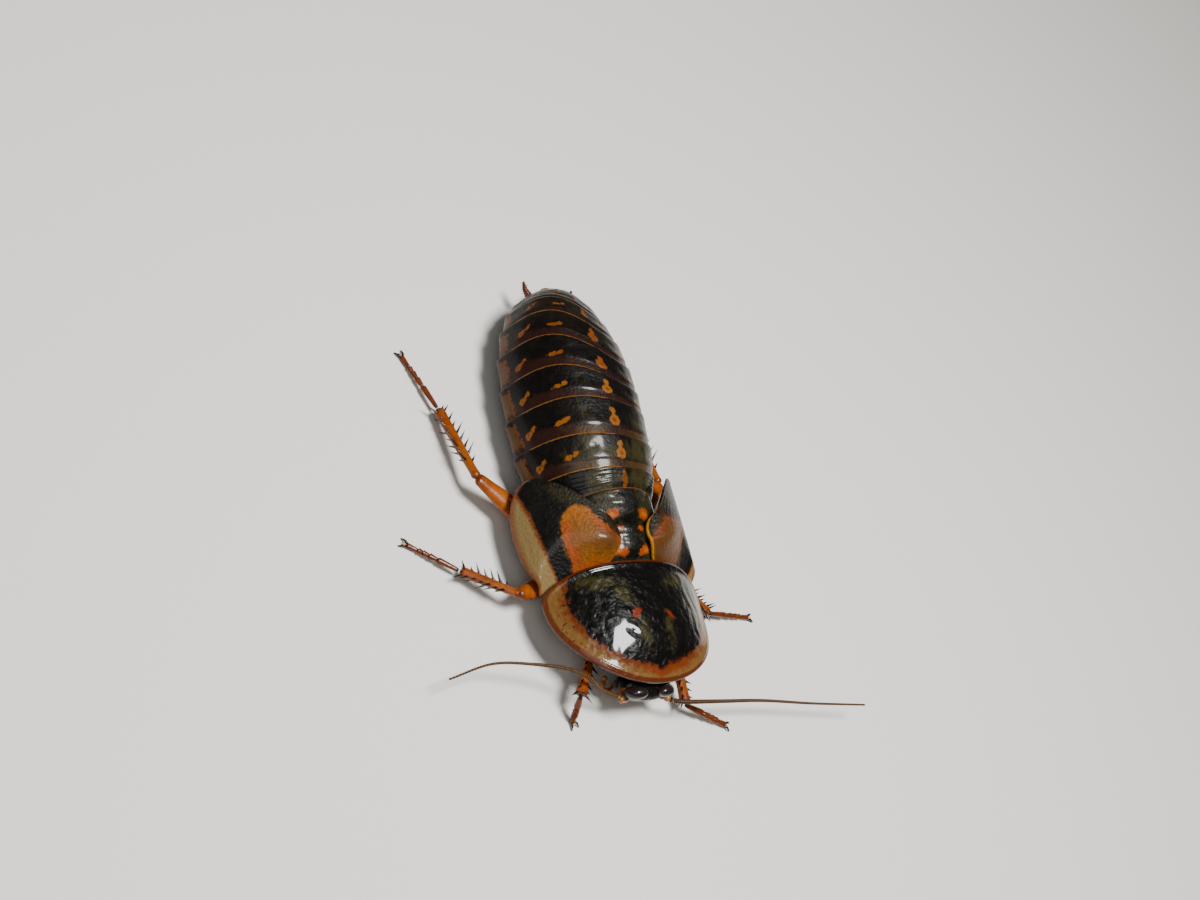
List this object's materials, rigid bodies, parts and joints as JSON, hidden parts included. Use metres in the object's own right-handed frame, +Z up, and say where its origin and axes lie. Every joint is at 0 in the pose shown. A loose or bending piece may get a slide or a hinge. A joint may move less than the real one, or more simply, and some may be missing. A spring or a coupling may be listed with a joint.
{
  "type": "dubia roach",
  "caption": "Life-size still model of an adult female dubia roach standing on its feet, with short wing pads, spined legs and long feelers.",
  "frame": {"origin": "under the middle of the model's bounding box, on the floor it stands on", "axes": "+Z up from the floor, +X towards the animal's left, -Y the way the head faces"},
  "size_m": [0.0466, 0.0462, 0.01],
  "materials": {
    "shell_black": "glossy near-black chitin with olive mottling and a tan translucent margin",
    "wing_amber": "leathery satin chitin, orange patch, black stripe and olive-tan outer margin",
    "plate_brown": "satin dark brown plates with amber rims and ochre spots",
    "eye_dark": "dark glossy facetted eye",
    "leg_amber": "glossy translucent amber chitin",
    "leg_red": "glossy red-brown chitin with black spines",
    "feeler_brown": "dark brown jointed feeler",
    "palp_tan": "pale tan soft joints"
  },
  "bodies": {
    "root": {"pronotum": "shell_black", "tegmen_left": "wing_amber", "tegmen_right": "wing_amber", "prothorax": "shell_black", "mesothorax": "shell_black", "metathorax": "shell_black", "abdomen": "plate_brown", "tail_plate": "plate_brown", "cercus_left": "leg_amber", "cercus_right": "leg_amber", "head": "shell_black", "eye_left": "eye_dark", "eye_right": "eye_dark", "palps_left": "palp_tan", "palps_right": "palp_tan", "antenna_base_left": "feeler_brown", "antenna_base_right": "feeler_brown", "antenna_left": "feeler_brown", "antenna_right": "feeler_brown", "coxa_front_left": "leg_amber", "femur_front_left": "leg_amber", "tibia_front_left": "leg_red", "tarsus_front_left": "leg_red", "coxa_front_right": "leg_amber", "femur_front_right": "leg_amber", "tibia_front_right": "leg_red", "tarsus_front_right": "leg_red", "coxa_middle_left": "leg_amber", "femur_middle_left": "leg_amber", "tibia_middle_left": "leg_red", "tarsus_middle_left": "leg_red", "coxa_middle_right": "leg_amber", "femur_middle_right": "leg_amber", "tibia_middle_right": "leg_red", "tarsus_middle_right": "leg_red", "coxa_hind_left": "leg_amber", "femur_hind_left": "leg_amber", "tibia_hind_left": "leg_red", "tarsus_hind_left": "leg_red", "coxa_hind_right": "leg_amber", "femur_hind_right": "leg_amber", "tibia_hind_right": "leg_red", "tarsus_hind_right": "leg_red"}
  },
  "joints": []
}
